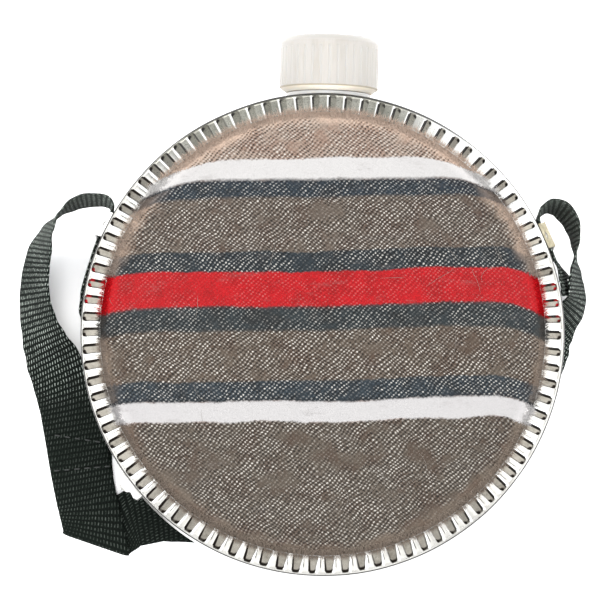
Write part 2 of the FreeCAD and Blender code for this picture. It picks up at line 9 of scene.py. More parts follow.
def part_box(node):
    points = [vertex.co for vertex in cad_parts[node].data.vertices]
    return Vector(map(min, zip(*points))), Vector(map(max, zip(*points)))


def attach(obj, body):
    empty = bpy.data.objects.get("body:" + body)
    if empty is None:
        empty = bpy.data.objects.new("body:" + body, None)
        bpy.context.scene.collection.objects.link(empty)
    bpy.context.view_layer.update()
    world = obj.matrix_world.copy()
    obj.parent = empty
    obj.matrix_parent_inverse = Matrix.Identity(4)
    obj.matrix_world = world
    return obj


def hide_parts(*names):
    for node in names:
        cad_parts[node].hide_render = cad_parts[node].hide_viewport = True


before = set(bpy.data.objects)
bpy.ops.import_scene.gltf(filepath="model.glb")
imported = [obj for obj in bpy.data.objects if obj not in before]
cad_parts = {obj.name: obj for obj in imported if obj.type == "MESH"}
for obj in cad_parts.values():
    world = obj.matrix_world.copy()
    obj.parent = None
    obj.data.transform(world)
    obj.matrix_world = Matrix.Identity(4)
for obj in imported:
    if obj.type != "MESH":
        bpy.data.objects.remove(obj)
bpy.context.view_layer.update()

MM = 0.001
LEVEL = 0.38                                  # the object's colours against the paper under it

band_low, band_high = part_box("rim_band")
cloth_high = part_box("front_blanket")[1]
MID = (band_low.z + band_high.z) / 2          # height of the disc's middle plane
CROWN = 193.6 * MM                            # spherical radius of the blanket faces
CLOTH_THICK = 2.4 * MM
HELD = 93.5 * MM                              # radius where the crimp starts to hold the blanket
TOP = cloth_high.z
UP = np.array([0.0, 0.0, 1.0])


# ------------------------------------------------------------------ helpers: meshes

def piece(name, points, faces, body="canteen", smooth=True):
    """A mesh object that rides on a CAD body."""
    mesh = bpy.data.meshes.new(name)
    points = np.asarray(points, np.float32).reshape(-1, 3)
    faces = np.asarray(faces, np.int32)
    mesh.vertices.add(len(points))
    mesh.vertices.foreach_set("co", points.ravel())
    corners = faces.shape[1]
    mesh.loops.add(faces.size)
    mesh.loops.foreach_set("vertex_index", faces.ravel())
    mesh.polygons.add(len(faces))
    mesh.polygons.foreach_set("loop_start", np.arange(len(faces), dtype=np.int32) * corners)
    mesh.polygons.foreach_set("use_smooth", np.full(len(faces), smooth))
    mesh.update(calc_edges=True)
    mesh.validate()
    thing = bpy.data.objects.new(name, mesh)
    bpy.context.scene.collection.objects.link(thing)
    if body:
        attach(thing, body)
    return thing


def grid_faces(rows, columns, wrap_rows=False, wrap_columns=False, flip=False):
    """Quads between neighbouring points of a rows by columns grid."""
    i = np.arange(rows if wrap_rows else rows - 1)[:, None]
    j = np.arange(columns if wrap_columns else columns - 1)[None]
    a = i * columns + j
    b = i * columns + (j + 1) % columns
    c = ((i + 1) % rows) * columns + (j + 1) % columns
    d = ((i + 1) % rows) * columns + j
    quads = np.stack([a, b, c, d] if not flip else [a, d, c, b], -1).reshape(-1, 4)
    return quads


def attribute(thing, name, values):
    """A number at each point, which a material can read."""
    layer = thing.data.attributes.new(name, "FLOAT", "POINT")
    layer.data.foreach_set("value", np.asarray(values, np.float32).ravel())


def smooth_noise(x, y, scale, seed):
    """Value noise with unit amplitude and features of about scale."""
    table = np.random.default_rng(seed).uniform(-1, 1, (64, 64))
    u, v = x / scale + 1000, y / scale + 1000
    i, j = np.floor(u).astype(int), np.floor(v).astype(int)
    f, g = u - i, v - j
    f, g = f * f * (3 - 2 * f), g * g * (3 - 2 * g)
    a, b = table[i % 64, j % 64], table[(i + 1) % 64, j % 64]
    c, d = table[i % 64, (j + 1) % 64], table[(i + 1) % 64, (j + 1) % 64]
    return (a * (1 - f) + b * f) * (1 - g) + (c * (1 - f) + d * f) * g


def step(value, low, high):
    """A smooth rise from 0 at low to 1 at high."""
    t = np.clip((value - low) / (high - low), 0, 1)
    return t * t * (3 - 2 * t)


# ------------------------------------------------------------------ helpers: materials

class Shader:
    """Builds one node material."""

    def __init__(self, name):
        self.material = bpy.data.materials.new(name)
        self.material.use_nodes = True
        self.tree = self.material.node_tree
        self.tree.nodes.clear()

    def node(self, kind, inputs=None, out=0, **settings):
        made = self.tree.nodes.new("ShaderNode" + kind)
        for key, value in settings.items():
            setattr(made, key, value)
        for key, value in (inputs or {}).items():
            socket = made.inputs[key]
            if isinstance(value, bpy.types.NodeSocket):
                self.tree.links.new(value, socket)
            else:
                socket.default_value = value
        return made.outputs[out] if len(made.outputs) else None

    def math(self, operation, a, b=0.0):
        return self.node("Math", {0: a, 1: b}, operation=operation)

    def mul(self, a, b):
        return self.math("MULTIPLY", a, b)

    def plus(self, a, b):
        return self.math("ADD", a, b)

    def minus(self, a, b):
        return self.math("SUBTRACT", a, b)

    def vector(self, operation, a, b):
        return self.node("VectorMath", {0: a, 1: b}, operation=operation)

    def length(self, x, y):
        flat = self.node("CombineXYZ", {"X": x, "Y": y})
        return self.node("VectorMath", {0: flat}, operation="LENGTH", out=1)

    def read(self, name):
        return self.node("Attribute", out=2, attribute_name=name)

    def mix(self, share, a, b, blend="MIX"):
        made = self.tree.nodes.new("ShaderNodeMix")
        made.data_type = "RGBA"
        made.blend_type = blend
        for index, value in ((0, share), (6, a), (7, b)):
            if isinstance(value, bpy.types.NodeSocket):
                self.tree.links.new(value, made.inputs[index])
            elif index:
                made.inputs[index].default_value = rgb(value)
            else:
                made.inputs[index].default_value = value
        return made.outputs[2]

    def dim(self, tone, level):
        """The tone times a grey level."""
        grey = self.node("CombineColor", {0: level, 1: level, 2: level})
        return self.mix(1.0, tone, grey, "MULTIPLY")

    def band(self, value, low, high, to_low=0.0, to_high=1.0, kind="SMOOTHSTEP"):
        limits = {"From Min": low, "From Max": high, "To Min": to_low, "To Max": to_high}
        return self.node("MapRange", {"Value": value, **limits}, interpolation_type=kind)

    def grained(self, noise, low, high):
        """A roughness between low and high that follows a noise."""
        return self.band(noise, 0.3, 0.7, low, high, kind="LINEAR")

    def ramp(self, value, stops):
        made = self.tree.nodes.new("ShaderNodeValToRGB")
        elements = made.color_ramp.elements
        while len(elements) < len(stops):
            elements.new(0.5)
        for element, (place, colour) in zip(elements, sorted(stops, key=lambda s: s[0])):
            element.position = place
            element.color = rgb(colour)
        self.tree.links.new(value, made.inputs[0])
        return made.outputs[0]

    def noise(self, vector, scale, detail=3.0, rough=0.5, out=0):
        inputs = {"Vector": vector, "Scale": scale, "Detail": detail, "Roughness": rough}
        return self.node("TexNoise", inputs, out=out)

    def drift(self, vector, scale, detail=3.0, rough=0.5):
        """Noise about zero."""
        return self.plus(self.noise(vector, scale, detail, rough), -0.5)

    def place(self):
        return self.node("TexCoord", out=3)

    def split(self, vector):
        made = self.tree.nodes.new("ShaderNodeSeparateXYZ")
        self.tree.links.new(vector, made.inputs[0])
        return made.outputs

    def bump(self, height, strength, distance):
        inputs = {"Height": height, "Strength": strength, "Distance": distance}
        return self.node("Bump", inputs)

    def finish(self, inputs):
        surface = self.node("BsdfPrincipled", inputs)
        self.node("OutputMaterial", {"Surface": surface})
        return self.material


def rgb(colour):
    """Scene colour from an sRGB triple of 0 to 255; four values are taken as they are."""
    if len(colour) == 4:
        return colour
    linear = [(c / 255 / 12.92) if c <= 10.3 else ((c / 255 + 0.055) / 1.055) ** 2.4 for c in colour]
    return (*(LEVEL * c for c in linear), 1.0)


def paint(thing, material):
    thing.data.materials.clear()
    thing.data.materials.append(material)


# ------------------------------------------------------------------ camera, floor and light

def aim(name, data, place, target, roll=0.0):
    """A camera or light at a place, turned towards a target."""
    thing = bpy.data.objects.new(name, data)
    bpy.context.scene.collection.objects.link(thing)
    turn = (Vector(target) - Vector(place)).to_track_quat("-Z", "Y").to_matrix().to_4x4()
    thing.matrix_world = Matrix.Translation(place) @ turn @ Matrix.Rotation(roll, 4, "Z")
    return thing


def make_camera():
    data = bpy.data.cameras.new("camera")
    data.sensor_width = 36
    data.lens = 426.2
    data.clip_start, data.clip_end = 0.1, 20
    target = Vector((-0.00984, 0.0156, 0.045))
    lift, distance, roll = math.radians(86), 3.0, math.radians(1.4713)
    place = target + distance * Vector((0, -math.cos(lift), math.sin(lift)))
    camera = aim("camera", data, place, target, roll)
    bpy.context.scene.camera = camera


def area_light(name, place, target, width, height, power, colour=(1, 1, 1)):
    data = bpy.data.lights.new(name, "AREA")
    data.shape = "RECTANGLE"
    data.size, data.size_y = width, height
    data.energy = power
    data.color = colour
    aim(name, data, place, target)


def make_stage():
    size = 3.0
    corners = [(-size, -size, 0), (size, -size, 0), (size, size, 0), (-size, size, 0)]
    floor = piece("floor", corners, [(0, 1, 2, 3)], body=None)
    look = Shader("floor_paper")
    grain = look.noise(look.place(), 40.0, 4.0)
    tone = look.ramp(grain, [(0.3, (0.95, 0.95, 0.95, 1)), (0.7, (0.98, 0.98, 0.98, 1))])
    paint(floor, look.finish({"Base Color": tone, "Roughness": 0.9, "Specular IOR Level": 0.1}))
    world = bpy.data.worlds.new("studio")
    bpy.context.scene.world = world
    world.use_nodes = True
    backdrop = world.node_tree.nodes["Background"]
    backdrop.inputs["Color"].default_value = (0.93, 0.96, 1.0, 1)
    backdrop.inputs["Strength"].default_value = 1.15
    centre = (0, 0, 0.05)
    area_light("key", (-0.35, 0.95, 1.75), centre, 0.9, 0.7, 20.8, (1.0, 0.985, 0.96))
    area_light("overhead", (0.0, -0.1, 2.6), centre, 1.8, 1.8, 46.8)
    area_light("left", (-1.5, -0.05, 0.95), centre, 2.5, 1.1, 41.6)
    area_light("right", (1.5, -0.05, 0.95), centre, 2.5, 1.1, 39.9)
    area_light("front", (0.0, -1.6, 1.0), centre, 2.3, 0.9, 24.2)
    bpy.context.scene.view_settings.view_transform = "Standard"


# ------------------------------------------------------------------ blanket

# The stripes from the bottom of the face to its top: upper edge in mm, colour, speck strength.
# the taupe stripes are painted lighter towards the top, the top one most: partly the pale pile there,
# partly painted light from the top
STRIPES = [
    (-38.2, (98, 88, 77), 0.85), (-29.9, (208, 205, 204), 0.0), (-29.1, (30, 36, 42), 0.3),
    (-21.3, (48, 59, 67), 0.82), (-0.1, (102, 90, 78), 1.0), (9.6, (47, 55, 58), 0.62),
    (24.5, (191, 8, 20), 0.14), (33.0, (43, 52, 58), 0.84), (55.9, (106, 94, 83), 1.0),
    (62.8, (43, 55, 65), 0.68), (63.6, (18, 24, 28), 0.2), (72.6, (222, 219, 217), 0.0),
    (110.0, (180, 160, 145), 0.9),
]
STRIPE_SPAN = STRIPES[-1][0]
STRIPE_BLUR = 0.2


def positive(s, value):
    return s.math("MAXIMUM", value, 0.0)


def stripe_place(s, mm, x, y, radius, hidden):
    """The cloth's own height coordinate: level over most of the face, drawn down towards its ends."""
    tilt = s.plus(s.mul(x, 0.046), s.mul(s.math("ABSOLUTE", x), 0.021))
    right_end = positive(s, s.plus(x, -70.0))
    left_end = positive(s, s.plus(s.mul(x, -1.0), -75.0))
    edge = positive(s, s.plus(radius, -82.0))
    upper = s.band(y, 25.0, 50.0)
    pull = s.mul(s.mul(s.mul(edge, edge), s.mul(upper, y)), 0.0009)
    v = s.minus(y, tilt)
    v = s.plus(v, s.mul(s.mul(right_end, right_end), 0.014))
    v = s.plus(v, s.mul(s.mul(left_end, left_end), 0.006))
    v = s.plus(v, pull)
    for scale, size in ((0.035, 3.0), (0.28, 1.1), (0.9, 0.9)):
        v = s.plus(v, s.mul(s.drift(mm, scale, 2.0), size))
    fuzz = s.mul(s.drift(mm, 1.4, 3.0, 0.7), s.plus(s.mul(hidden, 6.5), 0.4))
    return s.plus(v, fuzz)


def cloth_material(name, pile_only=False):
    """Striped twill; pile_only leaves the weave out, for loose fibres."""
    s = Shader(name)
    mm = s.vector("MULTIPLY", s.place(), (1000, 1000, 1000))
    x, y, _ = s.split(mm)
    radius = s.length(x, y)
    ragged = s.plus(radius, s.mul(s.drift(mm, 0.12), 10.0))
    hidden = s.band(ragged, 85.5, 92.5)
    v = stripe_place(s, mm, x, y, radius, hidden)
    stops, strengths = [], []
    edge = -STRIPE_SPAN
    for upper, colour, strength in STRIPES:
        blur = min(STRIPE_BLUR, (upper - edge) / 3)
        for stop in (edge + blur, upper - blur):
            share = (stop + STRIPE_SPAN) / (2 * STRIPE_SPAN)
            stops.append((share, colour))
            strengths.append((share, (strength, strength, strength, 1)))
        edge = upper
    place = s.band(v, -STRIPE_SPAN, STRIPE_SPAN, kind="LINEAR")
    base = s.ramp(place, stops)
    strength = s.ramp(place, strengths)

    # wool: mottled warm and cool, with painted light making the pile paler towards the top
    mottle = s.noise(mm, 0.10, 4.0, 0.65)
    fine = s.noise(mm, 1.5, 3.0, 0.7)
    dyed = s.band(strength, 0.02, 0.15)
    warm = s.mix(1.0, base, (0.66, 0.48, 0.41, 1), "MULTIPLY")
    tone = s.mix(s.mul(s.band(mottle, 0.42, 0.68, 0.0, 0.65), dyed), base, warm)
    plain = s.band(strength, 0.5, 0.95)
    # a pale haze of pile over the ring by the metal, painted stronger towards the top as painted light
    haze_and_top_light = s.mul(s.mul(hidden, plain), s.band(y, -20.0, 86.0, 0.10, 0.90))
    tone = s.mix(haze_and_top_light, tone, (214, 188, 168))
    depth = s.plus(s.mul(dyed, 0.22), 0.05)
    tone = s.dim(tone, s.plus(1.0, s.mul(s.band(fine, 0.25, 0.75, -1.0, 1.0), depth)))
    smudge = s.noise(s.vector("MULTIPLY", mm, (0.5, 1.6, 1)), 0.12, 4.0, 0.7)
    tone = s.mix(s.mul(s.band(smudge, 0.56, 0.72), 0.22), tone, (130, 122, 118))
    # painted light: brighter in the ring by the metal and most in a thin line beside it at the left and
    # right, to cancel the flange's shadow
    sides = s.band(s.math("ABSOLUTE", x), 40.0, 88.0, 0.1, 0.2 if pile_only else 2.2)
    shadow_fill = s.mul(s.band(radius, 90.0, 92.3), sides)
    tone = s.dim(tone, s.plus(s.band(radius, 86.0, 92.0, 1.0, 1.35), shadow_fill))
    if pile_only:
        # the loose fibres of the speckled stripes are painted paler, to offset the shade they stand in
        tone = s.mix(s.mul(plain, 0.35), tone, (240, 222, 206))
        normal = s.bump(fine, 0.3, 0.0002)
        return s.finish({"Base Color": tone, "Roughness": 0.95, "Specular IOR Level": 0.1,
                         "Normal": normal})

    # twill: two sets of waves whose crests cross at the specks; the rising diagonals lead
    woven = mm
    for scale, size in ((0.10, 3.4), (0.45, 0.75)):
        shift = s.vector("SUBTRACT", s.noise(mm, scale, 2.0, out=1), (0.5, 0.5, 0.5))
        woven = s.vector("ADD", woven, s.vector("MULTIPLY", shift, (size, size, size)))
    waves = []
    for kx, ky, weight in ((0.474, -0.455, 0.60), (0.445, 0.709, 0.40)):
        turn = (kx * math.tau, ky * math.tau, 0)
        phase = s.node("VectorMath", {0: woven, 1: turn}, operation="DOT_PRODUCT", out=1)
        waves.append(s.mul(s.math("COSINE", phase), weight))
    twill = s.plus(*waves)
    cell = s.noise(mm, 0.55, 3.0, 0.7)
    pile = s.noise(mm, 0.085, 4.0, 0.65)
    seen = s.mul(s.mul(s.band(pile, 0.36, 0.56, 0.15, 1.0), s.minus(1.0, hidden)), strength)
    # the pale specks are partly the yarn's pale fibres and partly painted highlight on the raised weave;
    # the dark gaps round them are painted shade
    speck = s.mul(s.band(twill, 0.22, 0.72), s.band(cell, 0.38, 0.62, 0.05, 1.0))
    gap = s.mul(s.band(twill, 0.05, -0.6), s.band(cell, 0.70, 0.40, 0.35, 1.0))
    gap_shade = s.mix(1.0, tone, (0.107, 0.099, 0.091, 1), "MULTIPLY")
    dark = s.mix(s.mul(gap, s.math("MINIMUM", s.mul(seen, 2.2), 0.94)), tone, gap_shade)
    light = s.mix(s.mul(speck, seen), dark, s.mix(0.86, tone, (255, 250, 240)))
    height = s.plus(s.mul(twill, s.plus(s.mul(seen, 0.9), 0.1)), s.mul(fine, 0.9))
    normal = s.bump(height, 0.7, 0.0004)
    return s.finish({"Base Color": light, "Roughness": 0.95, "Specular IOR Level": 0.1, "Normal": normal,
                     "Sheen Weight": 0.08, "Sheen Roughness": 0.6})


def cloth_height(x, y, radius):
    """Outer face of the front blanket above its smooth dome, in metres."""
    calm = 1 - step(radius, 0.080, 0.093)
    swell = 0.55 * smooth_noise(x, y, 0.034, 3) + 0.30 * smooth_noise(x, y, 0.015, 4)
    pucker = 0.10 * smooth_noise(x, y, 0.006, 5)
    return MM * (calm * swell + pucker - 0.45)


def make_blanket(name, node, side):
    """side is 1 for the front face and -1 for the rear one."""
    rings, spokes = ((170, 640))
    reach = cloth_high.x * 0.995
    radius = reach * np.linspace(0.002, 1, rings)[:, None]
    angle = np.linspace(0, math.tau, spokes, endpoint=False)[None]
    x, y = radius * np.cos(angle), radius * np.sin(angle)
    dome = TOP - MID - CROWN + np.sqrt(CROWN ** 2 - radius ** 2)
    roll = step(radius, HELD, reach) ** 2 * 0.8 * MM
    outer = dome + cloth_height(x, y, radius) - roll
    inner = dome - CLOTH_THICK + roll
    if side < 0:
        outer = np.minimum(outer, MID)         # pressed flat where it rests
    faces_outer = grid_faces(rings, spokes, wrap_columns=True, flip=side < 0)
    z_outer = MID + side * outer
    z_inner = MID + side * inner * np.ones_like(angle)
    top = np.stack([x, y, z_outer * np.ones_like(x)], -1).reshape(-1, 3)
    low = np.stack([x, y, z_inner * np.ones_like(x)], -1).reshape(-1, 3)
    count = rings * spokes
    faces_inner = faces_outer[:, ::-1] + count
    rim = np.arange(spokes)
    nxt = (rim + 1) % spokes
    last = (rings - 1) * spokes
    skirt = np.stack([last + rim, last + rim + count, last + nxt + count, last + nxt], -1)
    if side < 0:
        skirt = skirt[:, ::-1]
    hubs = [[0, 0, height.reshape(rings, -1)[0].mean()] for height in (z_outer, z_inner)]
    points = np.concatenate([top, low, hubs])
    hub = np.full(spokes, 2 * count)
    caps = np.concatenate([np.stack([hub, rim, nxt, nxt], -1),
                           np.stack([hub + 1, nxt + count, rim + count, rim + count], -1)])
    if side < 0:
        caps = caps[:, ::-1]
    quads = np.concatenate([faces_outer, faces_inner, skirt])
    thing = piece(name, points, quads)
    fill_fans(thing, caps.tolist())
    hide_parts(node)
    return thing


def make_pile():
    """Short fibres that stand out of the front blanket, thickest where it meets the rim."""
    rng = np.random.default_rng(31)
    ring, loose = 20000, 3000                  # fibres beside the rim, and all over the face
    count = ring + loose
    by_rim = 92.9 - 2.6 * rng.uniform(0, 1, ring) ** 2.0
    radius = np.concatenate([by_rim, 90 * np.sqrt(rng.uniform(0, 1, loose))])
    angle = rng.uniform(0, math.tau, count)
    out = np.stack([np.cos(angle), np.sin(angle), 0 * angle], -1)
    side = np.stack([-np.sin(angle), np.cos(angle), 0 * angle], -1)
    root = out * (radius * MM)[:, None]
    root[:, 2] = front_surface(root[:, 0], root[:, 1]) - 0.15 * MM
    near = np.concatenate([np.ones(ring), np.zeros(loose)])
    lean = rng.normal(0, 0.6, (count, 2))
    reach = (2.2 + 3.4 * rng.uniform(0, 1, count) ** 1.8) * (0.25 + 0.75 * near)
    rise = np.where(near > 0, 1.05, 0.35) + rng.uniform(-0.15, 0.45, count)
    heading = out * (near[:, None] * 0.95 + 0.6 * lean[:, :1]) + side * lean[:, 1:]
    heading = heading + UP * rise[:, None]
    heading /= np.linalg.norm(heading, axis=1)[:, None]
    thick = rng.uniform(0.05, 0.10, count) * (1 + 0.9 * near)
    wide = np.cross(heading, UP)
    wide /= np.linalg.norm(wide, axis=1)[:, None] + 1e-9
    deep = np.cross(heading, wide)
    corners = [root + (wide * math.cos(a) + deep * math.sin(a)) * (thick * MM)[:, None]
               for a in (0, math.tau / 3, 2 * math.tau / 3)]
    tip = root + heading * (reach * MM)[:, None]
    points = np.stack([*corners, tip], 1).reshape(-1, 3)
    base = np.arange(count)[:, None] * 4
    spike = ((0, 2, 1), (0, 1, 3), (1, 2, 3), (2, 0, 3))
    faces = np.concatenate([base + np.array(face) for face in spike])
    thing = piece("front_cloth_pile", points, faces, smooth=False)
    paint(thing, cloth_material("front_cloth_pile", pile_only=True))


# Where loose hairs lie, in mm: the patch's middle and its spread.
HAIR_PATCHES = np.array([(62.0, 38.0, 12.0, 9.0), (38.0, -62.0, 24.0, 9.0), (-8.0, -30.0, 40.0, 40.0)])
HAIR_THICK = 0.06


def make_hairs():
    """A few longer loose hairs lying on the blanket."""
    rng = np.random.default_rng(32)
    points, faces = [], []
    for number in range(30):
        x, y = rng.normal(0, 1, 2) * HAIR_PATCHES[number % 3][2:] + HAIR_PATCHES[number % 3][:2]
        turn = rng.uniform(0, math.tau)
        bend = rng.normal(0, 0.10)
        steps = rng.integers(9, 20)
        for k in range(steps):
            thin = HAIR_THICK * (1 - 0.7 * abs(2 * k / (steps - 1) - 1) ** 3)
            z = float(front_surface(np.array(x * MM), np.array(y * MM))) / MM + 2 * HAIR_THICK
            for a in range(3):
                swing = math.tau * a / 3
                points.append((x - math.sin(turn) * math.cos(swing) * thin,
                               y + math.cos(turn) * math.cos(swing) * thin, z + math.sin(swing) * thin))
            if k:
                now, was = len(points) - 3, len(points) - 6
                faces += [(was + a, was + (a + 1) % 3, now + (a + 1) % 3, now + a) for a in range(3)]
            x, y = x + math.cos(turn), y + math.sin(turn)
            turn += bend + rng.normal(0, 0.05)
        first, last = len(points) - 3 * steps, len(points) - 3
        faces += [(first, first + 2, first + 1, first + 1), (last, last + 1, last + 2, last + 2)]
    thing = mixed_piece("front_cloth_hairs", np.array(points) * MM, faces)
    s = Shader("loose_hair")
    tone = s.mix(s.noise(s.place(), 300.0), (140, 130, 120), (196, 188, 178))
    paint(thing, s.finish({"Base Color": tone, "Roughness": 0.6}))


def mixed_piece(name, points, faces):
    """A piece whose faces are quads, or triangles with their last corner given twice."""
    quads = [face for face in faces if len(set(face)) == 4]
    fans = [face for face in faces if len(set(face)) == 3]
    thing = piece(name, points, quads)
    fill_fans(thing, fans)
    return thing


def front_surface(x, y):
    """Height of the front blanket's outer face."""
    radius = np.hypot(x, y)
    dome = TOP - CROWN + np.sqrt(CROWN ** 2 - radius ** 2)
    return dome + cloth_height(x, y, radius)


def fill_fans(thing, fans):
    """Adds the triangles that close a mesh's small openings and turns all faces outwards."""
    work = bmesh.new()
    work.from_mesh(thing.data)
    work.verts.ensure_lookup_table()
    for fan in fans:
        face = work.faces.new([work.verts[int(v)] for v in dict.fromkeys(fan)])
        face.smooth = True
    bmesh.ops.recalc_face_normals(work, faces=work.faces)
    work.to_mesh(thing.data)
    work.free()


# ------------------------------------------------------------------ rim band

FLUTES = 90
FLUTE_DEPTH = 0.72 * MM
FLANGE_EDGE = 99.9             # mm: where the sloping flange meets the rolled edge
FLANGE_SLOPE = 4.0 / 6.9
FLANGE_HEIGHT = 21.4           # mm above the middle plane, at its edge
ROLL = 1.6                     # mm: radius of the rolled edge


def ridge(value, middle, width, power=2):
    """A smooth bump of unit height."""
    return np.exp(-(((value - middle) / width) ** power))


def flute_relief(turn, radius):
    """Share of recess (0 to 1), height of the land, painted shade on the flutes' walls and ends, and a
    painted highlight along the land's edge.

    A flute's own coordinate t runs from 0 to 1 over one recess and the land after it.
    """
    period = turn * FLUTES / math.tau
    index = np.floor(period)
    t = period - index
    jitter = np.random.default_rng(8).uniform(-1, 1, (FLUTES + 1, 4))[(index % FLUTES).astype(int)]
    low = np.clip(-np.sin(turn), 0, 1)
    taper = 0.12 * low ** 3 * (1 - step(radius, 94.5 * MM, 99.5 * MM))
    left = 0.03 + 0.02 * jitter[..., 0] - 0.5 * taper
    right = 0.46 + 0.04 * jitter[..., 1] + taper + 0.09 * np.clip(-np.cos(turn), 0, 1)
    outer_end = (100.45 - 0.4 * np.cos(turn) + 0.2 * jitter[..., 2]) * MM
    share = (t - (left + right) / 2) / (right - left) * 2
    outer_end = outer_end - 0.9 * MM * np.clip(share ** 2, 0, 1) ** 2
    sink = step(t, left, left + 0.04) * (1 - step(t, right - 0.04, right + 0.02))
    sink = sink * (1 - step(radius, outer_end - 0.3 * MM, outer_end))
    # most lands have a thin crease along their middle
    crease = ridge(t, 0.70 + 0.05 * jitter[..., 3], 0.038) * (jitter[..., 2] > -0.5)
    crease = crease * step(radius, 93.8 * MM, 95 * MM) * (1 - step(radius, 97.5 * MM, 99 * MM))
    arch = np.cos((t - 0.74) * math.tau) * (1 - step(radius, 99.4 * MM, 100 * MM))
    land = MM * (0.10 * arch - 0.16 * crease)
    # each recess has one wall turned away from the top light, painted in shade; its outer end is painted
    # in shade too
    facing = 0.9 * np.cos(turn) + 0.35 * np.sin(turn)
    low_wall = ridge(t, left + 0.025, 0.085, 4) * np.clip(0.3 - facing, 0.05, 1)
    high_wall = ridge(t, right - 0.015, 0.085, 4) * np.clip(0.3 + facing, 0.05, 1)
    corner = np.maximum(step(-share * np.cos(turn), -0.25, 0.35), 0.8 * low ** 2)
    end_wall = ridge(radius, outer_end - 0.8 * MM, 0.75 * MM) * step(t, left - 0.02, left + 0.03)
    end_wall = end_wall * (1 - step(t, right - 0.02, right + 0.03)) * corner
    inside = 1 - step(radius, outer_end - 0.1 * MM, outer_end + 0.25 * MM)
    painted_shade = np.maximum(np.maximum(low_wall, high_wall) * inside, 0.9 * end_wall)
    # a painted highlight along each land's edge
    painted_glint = ridge(t, right + 0.07, 0.055) * (1 - step(radius, 99.9 * MM, 100.6 * MM))
    # the lower flutes are painted darker at their inner ends, next to the blanket
    inner_end = step(t, left, left + 0.06) * (1 - step(t, right - 0.08, right))
    inner_end = inner_end * (1 - step(radius, 93.4 * MM, 97.2 * MM))
    # painted shade in each land's crease, stronger on the lower flutes
    painted_shade = np.maximum(painted_shade, (0.30 + 0.34 * low) * crease)
    return sink, land, np.maximum(painted_shade, 0.42 * low * inner_end), painted_glint


def make_rim():
    spokes = FLUTES * 26
    angle = np.linspace(0, math.tau, spokes, endpoint=False)
    side_radius = FLANGE_EDGE + ROLL
    # the band's section in mm: radius, height, share of fluting, painted dark reflection
    lip = [(r, z, 0.0, 0.0) for r, z in ((93.3, 24.45), (93.05, 24.7), (93.0, 25.1), (93.15, 25.38))]
    flange = [(r, FLANGE_HEIGHT + (FLANGE_EDGE - r) * FLANGE_SLOPE, 1.0, 0.0)
              for r in np.linspace(93.5, FLANGE_EDGE, 26)]
    rolled = [(FLANGE_EDGE + ROLL * math.sin(a), FLANGE_HEIGHT - ROLL + ROLL * math.cos(a))
              for a in np.linspace(0.1, math.pi / 2, 12)]
    # the bead's outer edge and the top of the side wall carry a painted dark reflection
    bead = [(r, z, float(r < 100.95), float(step(r, 100.9, 101.3))) for r, z in rolled]
    side = [(side_radius, z, 0.0, 0.85 * (z > 19)) for z in (19.2, 18.4, 16.5, 14.0, 10.0, 6.0, 0.0)]
    half = lip + flange + bead + side
    outer = half + [(r, -z, -share, shading) for r, z, share, shading in half[::-1][1:]]
    inner_half = [(93.5, 24.2), (96.5, 22.0), (99.3, 20.2), (100.6, 19.2), (100.7, 0.0)]
    inner = [(r, -z, 0.0, 0.0) for r, z in inner_half]
    inner += [(r, z, 0.0, 0.0) for r, z in inner_half[::-1][1:]]
    section = np.array(outer + inner)
    rows = len(section)
    r, z = (section[:, axis][:, None] * MM * np.ones_like(angle)[None] for axis in (0, 1))
    flag, dark_reflection = section[:, 2][:, None], section[:, 3][:, None]
    sink, land, painted_shade, painted_glint = flute_relief(np.broadcast_to(angle[None], r.shape), r)
    plane = FLANGE_HEIGHT * MM + (FLANGE_EDGE * MM - r) * FLANGE_SLOPE
    floor = (plane - FLUTE_DEPTH) * np.sign(flag)
    sink = sink * np.abs(flag)
    z = (z + flag * land) * (1 - sink) + floor * sink
    # the side wall isn't quite round
    wobble = 0.12 * MM * smooth_noise(np.cos(angle) * 0.1, np.sin(angle) * 0.1, 0.02, 9)[None]
    outside = (np.arange(rows) < len(outer))[:, None]
    r = r + wobble * outside * (np.abs(flag) < 0.5)
    points = np.stack([r * np.cos(angle), r * np.sin(angle), MID + z], -1)
    faces = grid_faces(rows, spokes, wrap_rows=True, wrap_columns=True, flip=True)
    thing = piece("rim_band_shell", points, faces)
    attribute(thing, "recess", sink)
    # painted shade along the outer edge of the band's top
    top_edge_shade = step(np.sin(angle), 0.70, 0.90)[None] * step(section[:, 0], 100.2, 100.7)[:, None]
    attribute(thing, "painted_shade", np.maximum(np.maximum(painted_shade * np.abs(flag), dark_reflection), 0.5 * top_edge_shade))
    attribute(thing, "painted_glint", painted_glint * np.abs(flag))
    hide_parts("rim_band")
    paint(thing, tin_material())


